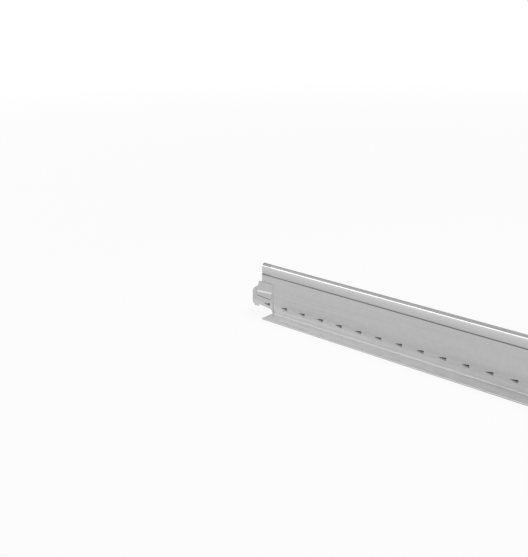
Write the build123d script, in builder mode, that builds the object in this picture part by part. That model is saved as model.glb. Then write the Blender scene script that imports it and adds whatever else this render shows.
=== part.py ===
from build123d import *
from math import atan2, degrees
import os

# Cross tee of an exposed suspended-ceiling grid, one 600 mm module long, standing on its flange.
# X runs along the tee, Y across the flange, Z is up. The origin is the middle of the underside.

# Grid and lengths
module = 600.0
flange_width = 24.0
bulb_setback = 3.9
neck_setback = 2.2
tab_overlap = 6.5

# Section
height = 38.0
steel = 0.3
cap_steel = 0.3
hem_return = 1.8
hem_clearance = 0.1
hem_corner = 0.25
root_bend = 0.5
neck_bend = 0.4
bulb_width = 4.4
bulb_depth = 8.4
bulb_shelf_rise = 0.4
bulb_corner = 0.8
bulb_bow = 0.35
bulb_bow_radius = 15.0
crown_rise = 1.6
crown_width = 1.4
crown_drop = 0.3

# End tabs, with heights counted up from the underside and reaches counted out from the slot line
web_setback = 0.8
tab_shift = 0.4
tab_border = 0.4
tab_border_corner = 1.8
tab_top = 23.2
tab_top_reach = 0.3
tab_step = 19.9
tab_step_reach = 1.1
tab_shoulder = 17.1
tab_shoulder_cut = 1.6
tab_hip = 15.2
tab_hip_cut = 0.2
tab_heel = 5.8
tab_foot = 3.4
tab_foot_cut = 2.2
tab_hook_reach = 1.0
tab_notch = 5.9
tab_notch_half = 0.4
tab_notch_drop = 1.2
tab_belly = 4.1
tab_belly_rise = 0.8
tab_belly_gap = 1.2
tab_throat = 1.7
bead_bottom = 10.9
bead_top = 16.9
bead_tip_bottom = 11.6
bead_tip_top = 15.8
bead_tip_corner = 1.5
bead_tip_gap = 3.6
bead_root = 0.2
bead_rise = 0.6
bead_wall = 0.35
bead_slope = 55.0

# Stitches that lock the two web layers together, placed by the window at the hood's open end
stitch_pitch = 15.89
stitch_start = 13.35
stitch_margin = 0.5
stitch_height = 7.2
stitch_length = 3.9
stitch_window = 1.1
stitch_width = 2.4
stitch_rise = 0.8
stitch_flat = 1.0
stitch_taper = 0.3
stitch_wall = 0.25

# Middle slot and hanger holes
slot_width = 2.0
slot_bottom = 5.6
slot_length = 15.3
slot_waist = 1.5
slot_waist_height = 15.4
slot_waist_length = 1.2
hanger_spacing = 28.0
hanger_base = 6.0
hanger_height = 5.0
hanger_bottom = 19.8
hanger_corner = 0.6

# Places that follow from the sizes above
flange_length = module - flange_width
flange_end = flange_length / 2
bulb_length = module - 2 * bulb_setback
slot_line = flange_width / 2
neck_length = slot_line - neck_setback
tab_length = slot_line + tab_overlap
web = 2 * steel
leaf_bottom = cap_steel
leaf_top = leaf_bottom + steel
leaf_half = flange_width / 2 - cap_steel - hem_clearance
outer_bend = root_bend + steel
web_bottom = leaf_bottom + outer_bend
bulb_bottom = height - bulb_depth
neck_bottom = tab_top + 2 * tab_border
root_line = web_setback + tab_border + tab_border_corner
tab_stitch = -flange_end + stitch_start - stitch_pitch
stitch_places = int((flange_end + slot_line - tab_stitch) / stitch_pitch) + 1
stitch_windows = [tab_stitch + index * stitch_pitch for index in range(stitch_places)]

# The bulb's side in section, from the foot of its shelf to the edge of its crown. It bows outwards
# a little between two soft corners.
side_bottom = bulb_bottom + bulb_shelf_rise
side_top = height - crown_rise
bulb_side = [
    (steel, bulb_bottom),
    (bulb_width / 2 - bulb_bow, side_bottom),
    (bulb_width / 2, (side_bottom + side_top) / 2),
    (bulb_width / 2 - bulb_bow, side_top),
    (crown_width / 2, height - crown_drop),
]
side_radii = [bulb_corner, bulb_bow_radius, bulb_corner]

# The end tab's corners in side view as (x, z, radius), with the flange's -X end at x = 0.
tab_corners = [
    (root_line, bulb_bottom, 0),
    (root_line, web_bottom, 0),
    (web_setback, web_bottom, 0),
    (web_setback, tab_throat, 1.2),
    (-tab_belly_gap, tab_belly, 1.5),
    (-slot_line + tab_belly_gap, tab_belly + tab_belly_rise, 0.3),
    (-slot_line + tab_notch_half, tab_notch, 0.3),
    (-slot_line - tab_notch_half, tab_notch - tab_notch_drop, 0.4),
    (-slot_line - tab_hook_reach, tab_foot, 0.5),
    (-tab_length + tab_foot_cut, tab_foot, 1.2),
    (-tab_length, tab_heel, 1.6),
    (-tab_length + tab_hip_cut, tab_hip, 0.8),
    (-tab_length + tab_shoulder_cut, tab_shoulder, 0.8),
    (-slot_line - tab_step_reach, tab_step, 0.4),
    (-slot_line - tab_top_reach, tab_top, 0.2),
    (-neck_length, tab_top, 0.3),
    (-neck_length, bulb_bottom, 0.4),
]

os.makedirs("parts", exist_ok=True)

# One end tab. The web's end and the tab are one sheet, trimmed to a hooked outline. Above the tab
# it ends in a short neck, and the tab is pressed to one side, so that two of them pass side by
# side through one slot.
with BuildPart() as end_tab:
    with BuildSketch(Plane.XZ) as tab_outline:
        with BuildLine():
            FilletPolyline(
                *[(x, z) for x, z, radius in tab_corners],
                radius=[radius for x, z, radius in tab_corners],
                close=True,
            )
        make_face()
    extrude(amount=steel, both=True)
    # The pressed area is bounded by a slope along the tab's top and root.
    for level, mode in ((steel, Mode.ADD), (-steel, Mode.SUBTRACT)):
        with BuildSketch(Plane.XZ.offset(level)) as pressed_area:
            with Locations((web_setback + tab_border - module / 2, tab_top + tab_border - module / 2)):
                Rectangle(module, module)
            border_corner = pressed_area.vertices().group_by(Axis.X)[-1].sort_by(Axis.Y)[-1]
            fillet(border_corner, radius=tab_border_corner)
        extrude(amount=tab_shift, taper=degrees(atan2(tab_border, tab_shift)), mode=mode)
    extrude(tab_outline.sketch, amount=flange_width, both=True, mode=Mode.INTERSECT)
    # A bead stiffens the tab: raised on one face, hollow on the other.
    for level, inset, mode in ((steel, 0, Mode.ADD), (-steel, bead_wall, Mode.SUBTRACT)):
        with BuildSketch(Plane.XZ.offset(tab_shift + level)) as bead:
            with BuildLine():
                FilletPolyline(
                    (bead_root, bead_bottom),
                    (bead_root, bead_top),
                    (-tab_length + bead_tip_gap, bead_tip_top),
                    (-tab_length + bead_tip_gap, bead_tip_bottom),
                    radius=[0, 0, bead_tip_corner, bead_tip_corner],
                    close=True,
                )
            make_face()
            if inset:
                offset(amount=-inset, mode=Mode.REPLACE)
        extrude(amount=bead_rise, taper=bead_slope, mode=mode)

# One stitch: a pocket that deepens towards +X on the front of the web, and behind it a hood that
# rises with it. Both run level for the window's length, and the hood is sheared open at its end.
with BuildPart() as stitch_hood:
    with BuildSketch(Plane.YZ) as hood_mouth:
        with BuildLine():
            Polyline(
                (0, -stitch_width / 2),
                (stitch_rise, -stitch_flat / 2),
                (stitch_rise, stitch_flat / 2),
                (0, stitch_width / 2),
                close=True,
            )
        make_face()
    with BuildSketch(Plane.YZ.offset(-stitch_length)):
        scale(hood_mouth.sketch_local, by=stitch_taper)
    loft(ruled=True)
    extrude(hood_mouth.sketch, amount=stitch_window)
with BuildPart() as stitch_pocket:
    window_half = stitch_width / 2 - stitch_wall
    pocket_depth = web + stitch_rise - stitch_wall
    pocket_flat = stitch_flat - stitch_wall
    with BuildSketch(Plane.YZ) as pocket_mouth:
        with BuildLine():
            Polyline(
                (-web, -window_half),
                (web, -window_half),
                (pocket_depth, -pocket_flat / 2),
                (pocket_depth, pocket_flat / 2),
                (web, window_half),
                (-web, window_half),
                close=True,
            )
        make_face()
    with BuildSketch(Plane.YZ.offset(-stitch_length)):
        scale(pocket_mouth.sketch_local, by=stitch_taper)
    loft(ruled=True)
    extrude(pocket_mouth.sketch, amount=stitch_window)

# The roll-formed body: two flange leaves, a doubled web and a hollow bulb from one strip.
with BuildPart() as tee_body:
    with BuildSketch(Plane.YZ):
        with BuildLine():
            under = RadiusArc((0, web_bottom), (outer_bend, leaf_bottom), outer_bend)
            leaf = Polyline(under @ 1, (leaf_half, leaf_bottom), (leaf_half, leaf_top), (outer_bend, leaf_top))
            bend = RadiusArc(leaf @ 1, (steel, web_bottom), -root_bend)
            FilletPolyline(bend @ 1, *bulb_side, radius=[neck_bend, *side_radii])
            mirror(about=Plane.YZ)
            ThreePointArc(bulb_side[-1], (0, height), (-crown_width / 2, height - crown_drop))
        make_face()
    extrude(amount=bulb_length / 2, both=True)
    with BuildSketch(Plane.YZ) as bulb_hollow:
        with BuildLine():
            FilletPolyline((0, bulb_bottom), *bulb_side[1:], radius=side_radii)
            mirror(about=Plane.YZ)
            ThreePointArc(bulb_side[-1], (0, height), (-crown_width / 2, height - crown_drop))
        make_face()
        offset(amount=-steel, kind=Kind.INTERSECTION, mode=Mode.REPLACE)
    extrude(amount=bulb_length / 2, both=True, mode=Mode.SUBTRACT)
    # The flange stops short of the bulb, and the web's ends make room for the tabs' sheet.
    with BuildSketch(Plane.XZ):
        for side in (-1, 1):
            with Locations((side * (flange_end + module / 2), neck_bottom / 2)):
                Rectangle(module, neck_bottom)
            with Locations((side * (flange_end - root_line + module / 2), (neck_bottom + web_bottom) / 2)):
                Rectangle(module, neck_bottom - web_bottom)
    extrude(amount=flange_width, both=True, mode=Mode.SUBTRACT)
    add(end_tab.part.moved(Location((-flange_end, 0, 0))))
    add(end_tab.part.moved(Location((flange_end, 0, 0), (0, 0, 180))))
    # The slot that takes two end tabs, with a waist, and the two hanger holes beside it.
    with BuildSketch(Plane.XZ):
        with Locations((0, slot_bottom + slot_length / 2)):
            Rectangle(slot_width, slot_length)
        for side in (-1, 1):
            with Locations((side * slot_width / 2, slot_waist_height)):
                Rectangle(slot_width - slot_waist, slot_waist_length, mode=Mode.SUBTRACT)
        for side in (-1, 1):
            middle = side * hanger_spacing / 2
            with BuildLine():
                FilletPolyline(
                    (middle - hanger_base / 2, hanger_bottom),
                    (middle + hanger_base / 2, hanger_bottom),
                    (middle, hanger_bottom + hanger_height),
                    radius=hanger_corner,
                    close=True,
                )
            make_face()
    extrude(amount=flange_width, both=True, mode=Mode.SUBTRACT)
    # The stitch row runs on at the same pitch into both tabs. Only a place on the slot or on a
    # tab's pressed border is passed over.
    keep_clear = [
        (-flange_end, -flange_end + root_line),
        (-slot_width / 2, slot_width / 2),
        (flange_end - root_line, flange_end),
    ]
    for window in stitch_windows:
        low = window - stitch_window / 2 - stitch_length - stitch_margin
        high = window + stitch_window / 2 + stitch_margin
        if any(low < zone_high and high > zone_low for zone_low, zone_high in keep_clear):
            continue
        sheet_front = -steel
        if window < -flange_end:
            sheet_front -= tab_shift
        if window > flange_end:
            sheet_front += tab_shift
        mouth = Vector(window - stitch_window / 2, sheet_front, stitch_height)
        add(stitch_hood.part.moved(Location(mouth + Vector(0, web, 0))))
        add(stitch_pocket.part.moved(Location(mouth)), mode=Mode.SUBTRACT)
tee_body.part.label = "tee_body"
export_step(tee_body.part, "parts/tee_body.step")

# The capping strip under the flange, hemmed over both of its edges.
with BuildPart() as face_cap:
    hem_height = 2 * cap_steel + steel
    with BuildSketch(Plane.YZ) as cap_section:
        with Locations((0, hem_height / 2)):
            Rectangle(flange_width, hem_height)
        fillet(cap_section.vertices(), radius=hem_corner)
        with Locations((0, hem_height / 2)):
            Rectangle(flange_width - 2 * cap_steel, steel, mode=Mode.SUBTRACT)
        with Locations((0, hem_height)):
            Rectangle(flange_width - 2 * hem_return, 2 * cap_steel + steel, mode=Mode.SUBTRACT)
    extrude(amount=flange_end, both=True)
face_cap.part.label = "face_cap"
export_step(face_cap.part, "parts/face_cap.step")
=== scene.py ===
import math
import bpy
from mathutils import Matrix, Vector

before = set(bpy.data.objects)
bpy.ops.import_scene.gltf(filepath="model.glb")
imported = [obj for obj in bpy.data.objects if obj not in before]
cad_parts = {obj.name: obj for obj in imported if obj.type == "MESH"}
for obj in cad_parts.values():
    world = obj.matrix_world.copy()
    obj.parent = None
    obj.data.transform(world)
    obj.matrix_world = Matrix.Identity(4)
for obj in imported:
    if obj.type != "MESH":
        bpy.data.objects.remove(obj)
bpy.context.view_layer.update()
scene = bpy.context.scene
print("frame loaded:", ", ".join(sorted(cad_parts)))


# camera at the photograph's place
photoCamera = {
    "place": (0.07587, -0.43777, 0.23331),
    "azimuth": 40.355,
    "elevation": 19.858,
    "lens": 54.58,  # on a sensor 36 mm high
    "sensorHeight": 36.0,
}

cameraData = bpy.data.cameras.new("photoCamera")
cameraData.sensor_fit = "VERTICAL"
cameraData.sensor_height = photoCamera["sensorHeight"]
cameraData.lens = photoCamera["lens"]
cameraData.clip_start = 0.01
cameraData.clip_end = 50.0
camera = bpy.data.objects.new("photoCamera", cameraData)
camera.location = photoCamera["place"]
camera.rotation_euler = (
    math.radians(90.0 - photoCamera["elevation"]), 0.0, math.radians(photoCamera["azimuth"]))
scene.collection.objects.link(camera)
scene.camera = camera
print("camera placed")


# node helpers
def addNode(tree, kind, **settings):
    node = tree.nodes.new(kind)
    for name, value in settings.items():
        setattr(node, name, value)
    return node


def connect(tree, source, target):
    tree.links.new(source, target)


def feed(tree, value, socket):
    if isinstance(value, (int, float, tuple)):
        socket.default_value = value
    else:
        connect(tree, value, socket)


def mathNode(tree, operation, first, second=None, clamp=False):
    node = addNode(tree, "ShaderNodeMath", operation=operation, use_clamp=clamp)
    feed(tree, first, node.inputs[0])
    if second is not None:
        feed(tree, second, node.inputs[1])
    return node.outputs[0]


def rangeNode(tree, value, fromLow, fromHigh, toLow, toHigh):
    node = addNode(tree, "ShaderNodeMapRange", clamp=True)
    connect(tree, value, node.inputs["Value"])
    feed(tree, fromLow, node.inputs["From Min"])
    feed(tree, fromHigh, node.inputs["From Max"])
    feed(tree, toLow, node.inputs["To Min"])
    feed(tree, toHigh, node.inputs["To Max"])
    return node.outputs["Result"]


def noiseNode(tree, vector, detail, **settings):
    node = addNode(tree, "ShaderNodeTexNoise", **settings)
    connect(tree, vector, node.inputs["Vector"])
    node.inputs["Scale"].default_value = 1.0
    feed(tree, detail, node.inputs["Detail"])
    return node


def mixColours(tree, factor, first, second):
    node = addNode(tree, "ShaderNodeMix", data_type="RGBA")
    connect(tree, factor, node.inputs[0])
    feed(tree, first, node.inputs[6])
    feed(tree, second, node.inputs[7])
    return node.outputs[2]


def addBump(tree, height, strength, distance, shader):
    bump = addNode(tree, "ShaderNodeBump")
    bump.inputs["Strength"].default_value = strength
    bump.inputs["Distance"].default_value = distance
    connect(tree, height, bump.inputs["Height"])
    connect(tree, bump.outputs["Normal"], shader.inputs["Normal"])


def grey(level):
    return (level, level, level, 1.0)


# X, Y and Z of the point being shaded, in the piece's own frame
def placeParts(tree):
    place = addNode(tree, "ShaderNodeTexCoord")
    parts = addNode(tree, "ShaderNodeSeparateXYZ")
    connect(tree, place.outputs["Object"], parts.inputs[0])
    return parts.outputs


def normalParts(tree):
    surface = addNode(tree, "ShaderNodeNewGeometry")
    parts = addNode(tree, "ShaderNodeSeparateXYZ")
    connect(tree, surface.outputs["Normal"], parts.inputs[0])
    return parts.outputs


def placeOverSize(tree, size):
    place = addNode(tree, "ShaderNodeTexCoord")
    sizes = addNode(tree, "ShaderNodeCombineXYZ")
    for socket in sizes.inputs:
        connect(tree, size, socket)
    scaled = addNode(tree, "ShaderNodeVectorMath", operation="DIVIDE")
    connect(tree, place.outputs["Object"], scaled.inputs[0])
    connect(tree, sizes.outputs[0], scaled.inputs[1])
    return scaled.outputs[0]


def startGroup(name, inputs, outputs):
    tree = bpy.data.node_groups.new(name, "ShaderNodeTree")
    for socketName, default in inputs:
        socket = tree.interface.new_socket(
            socketName, in_out="INPUT", socket_type="NodeSocketFloat")
        socket.default_value = default
    for socketName in outputs:
        tree.interface.new_socket(socketName, in_out="OUTPUT", socket_type="NodeSocketFloat")
    return tree, addNode(tree, "NodeGroupInput"), addNode(tree, "NodeGroupOutput")


def placeGroup(tree, group, **values):
    node = addNode(tree, "ShaderNodeGroup", node_tree=group)
    for name, value in values.items():
        node.inputs[name].default_value = value
    return node


# long soft lines that the rolls leave along the strip
def makeRollLines():
    tree, given, result = startGroup(
        "rollLines", (("Length", 0.08), ("Width", 0.0015), ("Seed", 0.0)), ("Lines",))
    parts = placeParts(tree)
    joined = addNode(tree, "ShaderNodeCombineXYZ")
    for axis, size in (("X", "Length"), ("Y", "Width"), ("Z", "Width")):
        scaled = mathNode(tree, "DIVIDE", parts[axis], given.outputs[size])
        connect(tree, scaled, joined.inputs[axis])
    noise = noiseNode(tree, joined.outputs[0], 3.0, noise_dimensions="4D")
    noise.inputs["Roughness"].default_value = 0.6
    connect(tree, given.outputs["Seed"], noise.inputs["W"])
    connect(tree, rangeNode(tree, noise.outputs["Fac"], 0.3, 0.7, 0.0, 1.0), result.inputs["Lines"])
    return tree


# crystals of the zinc coat, each a little lighter or darker
def makeZincSpangle():
    tree, given, result = startGroup("zincSpangle", (("Size", 0.002),), ("Shade",))
    cells = addNode(tree, "ShaderNodeTexVoronoi", feature="F1")
    connect(tree, placeOverSize(tree, given.outputs["Size"]), cells.inputs["Vector"])
    cells.inputs["Scale"].default_value = 1.0
    shade = addNode(tree, "ShaderNodeSeparateXYZ")
    connect(tree, cells.outputs["Color"], shade.inputs[0])
    connect(tree, shade.outputs["X"], result.inputs["Shade"])
    return tree


# fine unevenness of a sheet's skin
def makeSheetGrain():
    tree, given, result = startGroup("sheetGrain", (("Size", 0.0003), ("Detail", 2.0)), ("Height",))
    noise = noiseNode(
        tree, placeOverSize(tree, given.outputs["Size"]), given.outputs["Detail"])
    connect(tree, noise.outputs["Fac"], result.inputs["Height"])
    return tree


# corners rubbed bright, unevenly along their length
def makeEdgeWear():
    tree, given, result = startGroup(
        "edgeWear", (("Radius", 0.0002), ("Patch", 0.006), ("Amount", 1.0)), ("Wear",))
    rounded = addNode(tree, "ShaderNodeBevel", samples=6)
    connect(tree, given.outputs["Radius"], rounded.inputs["Radius"])
    surface = addNode(tree, "ShaderNodeNewGeometry")
    agreement = addNode(tree, "ShaderNodeVectorMath", operation="DOT_PRODUCT")
    connect(tree, rounded.outputs["Normal"], agreement.inputs[0])
    connect(tree, surface.outputs["Normal"], agreement.inputs[1])
    edge = rangeNode(tree, agreement.outputs["Value"], 0.70, 0.98, 1.0, 0.0)
    noise = noiseNode(tree, placeOverSize(tree, given.outputs["Patch"]), 3.0)
    patch = rangeNode(tree, noise.outputs["Fac"], 0.35, 0.6, 0.35, 1.0)
    worn = mathNode(tree, "MULTIPLY", edge, patch)
    connect(tree, mathNode(tree, "MULTIPLY", worn, given.outputs["Amount"], clamp=True),
            result.inputs["Wear"])
    return tree


# painted shade in narrow recesses, taken from ambient occlusion, less on what faces up towards the
# top light
def makeRecessShade():
    tree, given, result = startGroup(
        "recessShade", (("Reach", 0.0018), ("Open", 0.68), ("Closed", 0.36)), ("Shade",))
    openness = addNode(tree, "ShaderNodeAmbientOcclusion", samples=8, only_local=True)
    connect(tree, given.outputs["Reach"], openness.inputs["Distance"])
    shade = rangeNode(
        tree, openness.outputs["AO"], given.outputs["Closed"], given.outputs["Open"], 1.0, 0.0)
    facingAwayFromTop = rangeNode(tree, normalParts(tree)["Z"], 0.1, 0.7, 1.0, 0.15)
    connect(tree, mathNode(tree, "MULTIPLY", shade, facingAwayFromTop), result.inputs["Shade"])
    return tree


# a soft band between two heights, such as painted shade under an overhang
def makeHeightBand():
    tree, given, result = startGroup(
        "heightBand", (("Middle", 0.0293), ("Half", 0.0008)), ("Band",))
    away = mathNode(tree, "SUBTRACT", placeParts(tree)["Z"], given.outputs["Middle"])
    share = mathNode(tree, "DIVIDE", mathNode(tree, "ABSOLUTE", away), given.outputs["Half"])
    connect(tree, rangeNode(tree, share, 0.45, 1.0, 1.0, 0.0), result.inputs["Band"])
    return tree


rollLines = makeRollLines()
zincSpangle = makeZincSpangle()
sheetGrain = makeSheetGrain()
edgeWear = makeEdgeWear()
recessShade = makeRecessShade()
heightBand = makeHeightBand()
print("surface groups built")


# a band is its middle height, half its height, and the share of the colour laid over
def paintBand(tree, colour, band, paint):
    middle, half, share = band
    node = placeGroup(tree, heightBand, Middle=middle, Half=half)
    mask = mathNode(tree, "MULTIPLY", node.outputs["Band"], share)
    return mixColours(tree, mask, colour, paint)


# galvanised strip of the bulb, web and flange, with lengths and heights in metres
steel = {
    "zinc": grey(0.53),
    "darkZinc": grey(0.47),
    "toneShares": (0.55, 0.25, 0.20),  # of the roll lines, the spangle and the fine lines
    "roughness": (0.32, 0.42),
    "lineLength": 0.09,
    "lineWidth": 0.0016,
    "fineLineLength": 0.03,
    "fineLineWidth": 0.0004,
    "spangleSize": 0.0022,
    "grainSize": 0.00035,
    "bumpStrength": 0.5,
    "bumpDistance": 0.000012,
    "brightEdge": grey(0.80),
    "wearRadius": 0.00015,
    "layerGap": grey(0.10),  # hairline between the web's two layers, on cut edges
    "layerGapWidth": 0.00006,
    "layerGapTop": 0.0285,
    # painted shade: the dark line on the web under the bulb's overhang
    "paintedBulbShade": grey(0.10),
    "paintedBulbShadeBand": (0.0294, 0.0009, 0.85),
    "paintedHighlight": grey(0.86),  # painted highlight and painted light, laid on the bulb's shoulder and side, the bend, the stitch row and the leaves
    # painted highlight along the bulb's shoulder
    "shoulderBand": (0.0363, 0.00045, 0.7),
    # painted highlight along the bend from web to flange
    "bendBand": (0.00115, 0.0005, 0.35),
    # painted light on the lower web around the stitch row
    "stitchRowBand": (0.0054, 0.0033, 0.18),
    "leafHeights": (0.0009, 0.0012),  # the flange's leaves end between these, and a little painted light is laid below them
    "leafShare": 0.04,
    "bulbSideHeights": (0.031, 0.0358),  # painted light makes the side lighter between these
    "bulbSideShare": 0.22,
    "crownHeights": (0.0365, 0.0369),  # the crown starts between these, with painted shade making it darker than the side
    "paintedCrownShade": grey(0.26),
    "crownShare": 0.25,
    # painted shade in recesses and at the deep end of the stitch pockets
    "recess": grey(0.02),
    "pocketDepths": (0.0001, 0.0003),  # painted shade sits in the stitch pockets past these
    "pocketShade": {"Open": 0.95, "Closed": 0.75},
    "pocketFoot": (0.003, 0.004),
    "pocketHead": (0.012, 0.013),
    "tabStarts": 0.2885,
    "tabSlopes": (0.1, 0.4),  # Z of the normal on the flanks of what is pressed into a tab
    # painted shade: up-facing tab flanks dulled, down-facing ones darkened
    "tabUpperFlank": grey(0.26),
    "tabUpperShare": 0.5,
    "tabLowerFlank": grey(0.08),
    "tabLowerShare": 0.8,
}


# painted shade and light by height: shade under the bulb and on the crown, light up its side, on
# the stitch row, leaves, shoulder and bends
def paintLightAndShadeByHeight(tree, colour, height):
    colour = paintBand(tree, colour, steel["paintedBulbShadeBand"], steel["paintedBulbShade"])
    side = rangeNode(tree, height, *steel["bulbSideHeights"], 0.0, steel["bulbSideShare"])
    belowCrown = rangeNode(tree, height, *steel["crownHeights"], 1.0, 0.0)
    colour = mixColours(
        tree, mathNode(tree, "MULTIPLY", side, belowCrown), colour, steel["paintedHighlight"])
    crown = rangeNode(tree, height, *steel["crownHeights"], 0.0, steel["crownShare"])
    colour = mixColours(tree, crown, colour, steel["paintedCrownShade"])
    colour = paintBand(tree, colour, steel["stitchRowBand"], steel["paintedHighlight"])
    leaf = rangeNode(tree, height, *steel["leafHeights"], steel["leafShare"], 0.0)
    colour = mixColours(tree, leaf, colour, steel["paintedHighlight"])
    colour = paintBand(tree, colour, steel["shoulderBand"], steel["paintedHighlight"])
    return paintBand(tree, colour, steel["bendBand"], steel["paintedHighlight"])


# painted shade at the deep end of each stitch pocket
def shadePockets(tree, colour, parts, facing):
    pocket = placeGroup(tree, recessShade, **steel["pocketShade"])
    paintedPocketShade = rangeNode(tree, parts["Y"], *steel["pocketDepths"], 0.0, 1.0)
    for mask in (
            rangeNode(tree, facing["Y"], -0.1, 0.3, 1.0, 0.0),
            pocket.outputs["Shade"],
            rangeNode(tree, parts["Z"], *steel["pocketFoot"], 0.0, 1.0),
            rangeNode(tree, parts["Z"], *steel["pocketHead"], 1.0, 0.0)):
        paintedPocketShade = mathNode(tree, "MULTIPLY", paintedPocketShade, mask)
    return mixColours(tree, paintedPocketShade, colour, steel["recess"])


# painted shade on the flanks of the bead and border pressed into the end tabs: dulled where they
# face up, dark where they face down
def shadeTabFlanks(tree, colour, parts, facing):
    gentle, steep = steel["tabSlopes"]
    offMiddle = mathNode(tree, "ABSOLUTE", parts["X"])
    tab = mathNode(tree, "GREATER_THAN", offMiddle, steel["tabStarts"])
    upper = rangeNode(tree, facing["Z"], gentle, steep, 0.0, steel["tabUpperShare"])
    colour = mixColours(
        tree, mathNode(tree, "MULTIPLY", tab, upper), colour, steel["tabUpperFlank"])
    lower = rangeNode(tree, facing["Z"], -steep, -gentle, steel["tabLowerShare"], 0.0)
    return mixColours(
        tree, mathNode(tree, "MULTIPLY", tab, lower), colour, steel["tabLowerFlank"])


def finishSteel():
    material = bpy.data.materials.new("galvanisedSteel")
    material.use_nodes = True
    tree = material.node_tree
    shader = tree.nodes["Principled BSDF"]
    shader.inputs["Metallic"].default_value = 1.0

    lines = placeGroup(tree, rollLines, Length=steel["lineLength"], Width=steel["lineWidth"])
    fineLines = placeGroup(
        tree, rollLines, Length=steel["fineLineLength"], Width=steel["fineLineWidth"], Seed=5.0)
    spangle = placeGroup(tree, zincSpangle, Size=steel["spangleSize"])
    grain = placeGroup(tree, sheetGrain, Size=steel["grainSize"])
    wear = placeGroup(tree, edgeWear, Radius=steel["wearRadius"])

    lineShare, spangleShare, fineShare = steel["toneShares"]
    drawn = mathNode(tree, "MULTIPLY", lines.outputs["Lines"], lineShare)
    crystal = mathNode(tree, "MULTIPLY", spangle.outputs["Shade"], spangleShare)
    finer = mathNode(tree, "MULTIPLY", fineLines.outputs["Lines"], fineShare)
    tone = mathNode(tree, "ADD", mathNode(tree, "ADD", drawn, crystal), finer, clamp=True)
    colour = mixColours(tree, tone, steel["darkZinc"], steel["zinc"])
    colour = mixColours(tree, wear.outputs["Wear"], colour, steel["brightEdge"])

    # the two layers part along the middle of every cut edge of the web
    parts = placeParts(tree)
    offMiddle = mathNode(tree, "ABSOLUTE", parts["Y"])
    gap = mathNode(tree, "LESS_THAN", offMiddle, 0.5 * steel["layerGapWidth"])
    belowBulb = mathNode(tree, "LESS_THAN", parts["Z"], steel["layerGapTop"])
    colour = mixColours(
        tree, mathNode(tree, "MULTIPLY", gap, belowBulb), colour, steel["layerGap"])

    colour = paintLightAndShadeByHeight(tree, colour, parts["Z"])
    # painted shade in narrow recesses
    recess = placeGroup(tree, recessShade)
    colour = mixColours(tree, recess.outputs["Shade"], colour, steel["recess"])
    facing = normalParts(tree)
    colour = shadePockets(tree, colour, parts, facing)
    colour = shadeTabFlanks(tree, colour, parts, facing)
    connect(tree, colour, shader.inputs["Base Color"])

    roughLow, roughHigh = steel["roughness"]
    connect(tree, rangeNode(tree, tone, 0.0, 1.0, roughHigh, roughLow), shader.inputs["Roughness"])
    skin = mathNode(tree, "MULTIPLY", grain.outputs["Height"], 0.5)
    addBump(tree, mathNode(tree, "ADD", skin, finer),
            steel["bumpStrength"], steel["bumpDistance"], shader)
    return material


# baked paint on the capping strip, with lengths and heights in metres
cap = {
    "paint": grey(0.50),
    "thinPaint": grey(0.46),
    "roughness": (0.38, 0.48),
    "lineLength": 0.12,
    "lineWidth": 0.0025,
    "grainSize": 0.0004,
    "bumpStrength": 0.6,
    "bumpDistance": 0.000015,
    "rubbedEdgeAndHighlight": grey(0.86),
    "wearRadius": 0.0001,
    "wearAmount": 0.8,
    # painted highlight along the hem's top edge
    "hemEdgeBand": (0.00066, 0.00024, 1.0),
    "lowEdge": grey(0.26),
    "lowEdgeMiddle": 0.0002,
    "lowEdgeHalf": 0.0003,
    "uprightSlopes": (0.5, 0.9),  # size of the normal's Z, from upright to lying flat
}


def finishCap():
    material = bpy.data.materials.new("cappingPaint")
    material.use_nodes = True
    tree = material.node_tree
    shader = tree.nodes["Principled BSDF"]
    shader.inputs["Metallic"].default_value = 0.0

    lines = placeGroup(tree, rollLines, Length=cap["lineLength"], Width=cap["lineWidth"], Seed=2.0)
    grain = placeGroup(tree, sheetGrain, Size=cap["grainSize"], Detail=3.0)
    wear = placeGroup(tree, edgeWear, Radius=cap["wearRadius"], Amount=cap["wearAmount"])
    colour = mixColours(tree, lines.outputs["Lines"], cap["thinPaint"], cap["paint"])
    colour = mixColours(tree, wear.outputs["Wear"], colour, cap["rubbedEdgeAndHighlight"])
    # painted highlight along the hem's top edge, over the rubbed wear
    colour = paintBand(tree, colour, cap["hemEdgeBand"], cap["rubbedEdgeAndHighlight"])

    # the lower part of the strip's upright edges is in shade, its flat face isn't
    lowEdge = placeGroup(tree, heightBand, Middle=cap["lowEdgeMiddle"], Half=cap["lowEdgeHalf"])
    tilt = mathNode(tree, "ABSOLUTE", normalParts(tree)["Z"])
    upright = rangeNode(tree, tilt, *cap["uprightSlopes"], 1.0, 0.0)
    lowShare = mathNode(tree, "MULTIPLY", lowEdge.outputs["Band"], upright)
    colour = mixColours(tree, lowShare, colour, cap["lowEdge"])
    connect(tree, colour, shader.inputs["Base Color"])

    roughLow, roughHigh = cap["roughness"]
    connect(tree, rangeNode(tree, lines.outputs["Lines"], 0.0, 1.0, roughHigh, roughLow),
            shader.inputs["Roughness"])
    addBump(tree, grain.outputs["Height"], cap["bumpStrength"], cap["bumpDistance"], shader)
    return material


def dress(nodeName, material):
    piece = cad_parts[nodeName]
    piece.data.materials.clear()
    piece.data.materials.append(material)


dress("tee_body", finishSteel())
dress("face_cap", finishCap())
print("steel and paint on")


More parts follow.
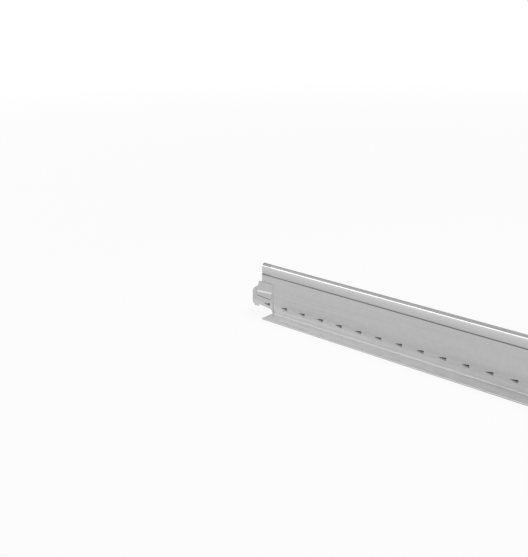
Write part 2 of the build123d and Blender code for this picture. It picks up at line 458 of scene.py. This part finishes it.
# floor, soft boxes and pale surroundings
studio = {
    "floorSize": 12.0,
    "floorColour": grey(0.86),
    "floorRoughness": 0.9,
    "floorShine": 0.1,
    "floorWhiteShare": 0.8,
    "floorFades": (0.5, 1.6),  # the floor grows quite white between these distances
    "fill": 0.40,
    "ceiling": 0.60,
    "ceilingStarts": (0.40, 0.70),  # sine of the height angle, from wall to ceiling
    "softBoxes": (
        # name, place, aim, width, height, power
        ("keyBox", (-1.2, -1.3, 0.74), (-0.12, 0.0, 0.02), 1.8, 0.75, 9.5),
        ("topBox", (0.3, 0.2, 1.9), (0.0, 0.0, 0.0), 1.6, 1.6, 25.0),
    ),
}


# rays that show the background: straight to the camera, off metal, or through glass
def seenRays(tree, rays):
    straightOrGloss = mathNode(
        tree, "MAXIMUM", rays.outputs["Is Camera Ray"], rays.outputs["Is Glossy Ray"])
    return mathNode(tree, "MAXIMUM", straightOrGloss, rays.outputs["Is Transmission Ray"])


def layFloor():
    bpy.ops.object.select_all(action="DESELECT")
    bpy.ops.mesh.primitive_plane_add(size=studio["floorSize"], location=(0.0, 0.0, 0.0))
    floor = bpy.context.object
    floor.name = "studioFloor"
    material = bpy.data.materials.new("studioPaper")
    material.use_nodes = True
    tree = material.node_tree
    shader = tree.nodes["Principled BSDF"]
    shader.inputs["Base Color"].default_value = studio["floorColour"]
    shader.inputs["Roughness"].default_value = studio["floorRoughness"]
    shader.inputs["Specular IOR Level"].default_value = studio["floorShine"]
    white = addNode(tree, "ShaderNodeEmission")
    white.inputs["Strength"].default_value = 1.0
    rays = addNode(tree, "ShaderNodeLightPath")
    place = addNode(tree, "ShaderNodeTexCoord")
    distance = addNode(tree, "ShaderNodeVectorMath", operation="LENGTH")
    connect(tree, place.outputs["Object"], distance.inputs[0])
    whiteness = rangeNode(
        tree, distance.outputs["Value"], *studio["floorFades"], studio["floorWhiteShare"], 1.0)
    share = mathNode(tree, "MULTIPLY", seenRays(tree, rays), whiteness)
    blend = addNode(tree, "ShaderNodeMixShader")
    connect(tree, share, blend.inputs[0])
    connect(tree, shader.outputs[0], blend.inputs[1])
    connect(tree, white.outputs[0], blend.inputs[2])
    connect(tree, blend.outputs[0], tree.nodes["Material Output"].inputs["Surface"])
    floor.data.materials.append(material)


def hangSoftBoxes():
    for name, place, aim, width, height, power in studio["softBoxes"]:
        light = bpy.data.lights.new(name, "AREA")
        light.shape = "RECTANGLE"
        light.size = width
        light.size_y = height
        light.energy = power
        box = bpy.data.objects.new(name, light)
        box.location = place
        box.rotation_euler = (Vector(aim) - Vector(place)).to_track_quat("-Z", "Y").to_euler()
        scene.collection.objects.link(box)


def lightSurroundings():
    world = bpy.data.worlds.new("paleRoom")
    scene.world = world
    world.use_nodes = True
    tree = world.node_tree
    tree.nodes.clear()
    direction = addNode(tree, "ShaderNodeTexCoord")
    parts = addNode(tree, "ShaderNodeSeparateXYZ")
    connect(tree, direction.outputs["Generated"], parts.inputs[0])
    walls = rangeNode(
        tree, parts.outputs["Z"], *studio["ceilingStarts"], 1.0, studio["ceiling"])
    shown = addNode(tree, "ShaderNodeBackground")
    shown.inputs["Strength"].default_value = 1.0
    connect(tree, walls, shown.inputs["Color"])
    lit = addNode(tree, "ShaderNodeBackground")
    lit.inputs["Strength"].default_value = studio["fill"]
    lit.inputs["Color"].default_value = (1.0, 1.0, 1.0, 1.0)
    rays = addNode(tree, "ShaderNodeLightPath")
    blend = addNode(tree, "ShaderNodeMixShader")
    output = addNode(tree, "ShaderNodeOutputWorld")
    connect(tree, seenRays(tree, rays), blend.inputs[0])
    connect(tree, lit.outputs[0], blend.inputs[1])
    connect(tree, shown.outputs[0], blend.inputs[2])
    connect(tree, blend.outputs[0], output.inputs["Surface"])


layFloor()
hangSoftBoxes()
lightSurroundings()
scene.view_settings.view_transform = "Standard"
print("studio lit")
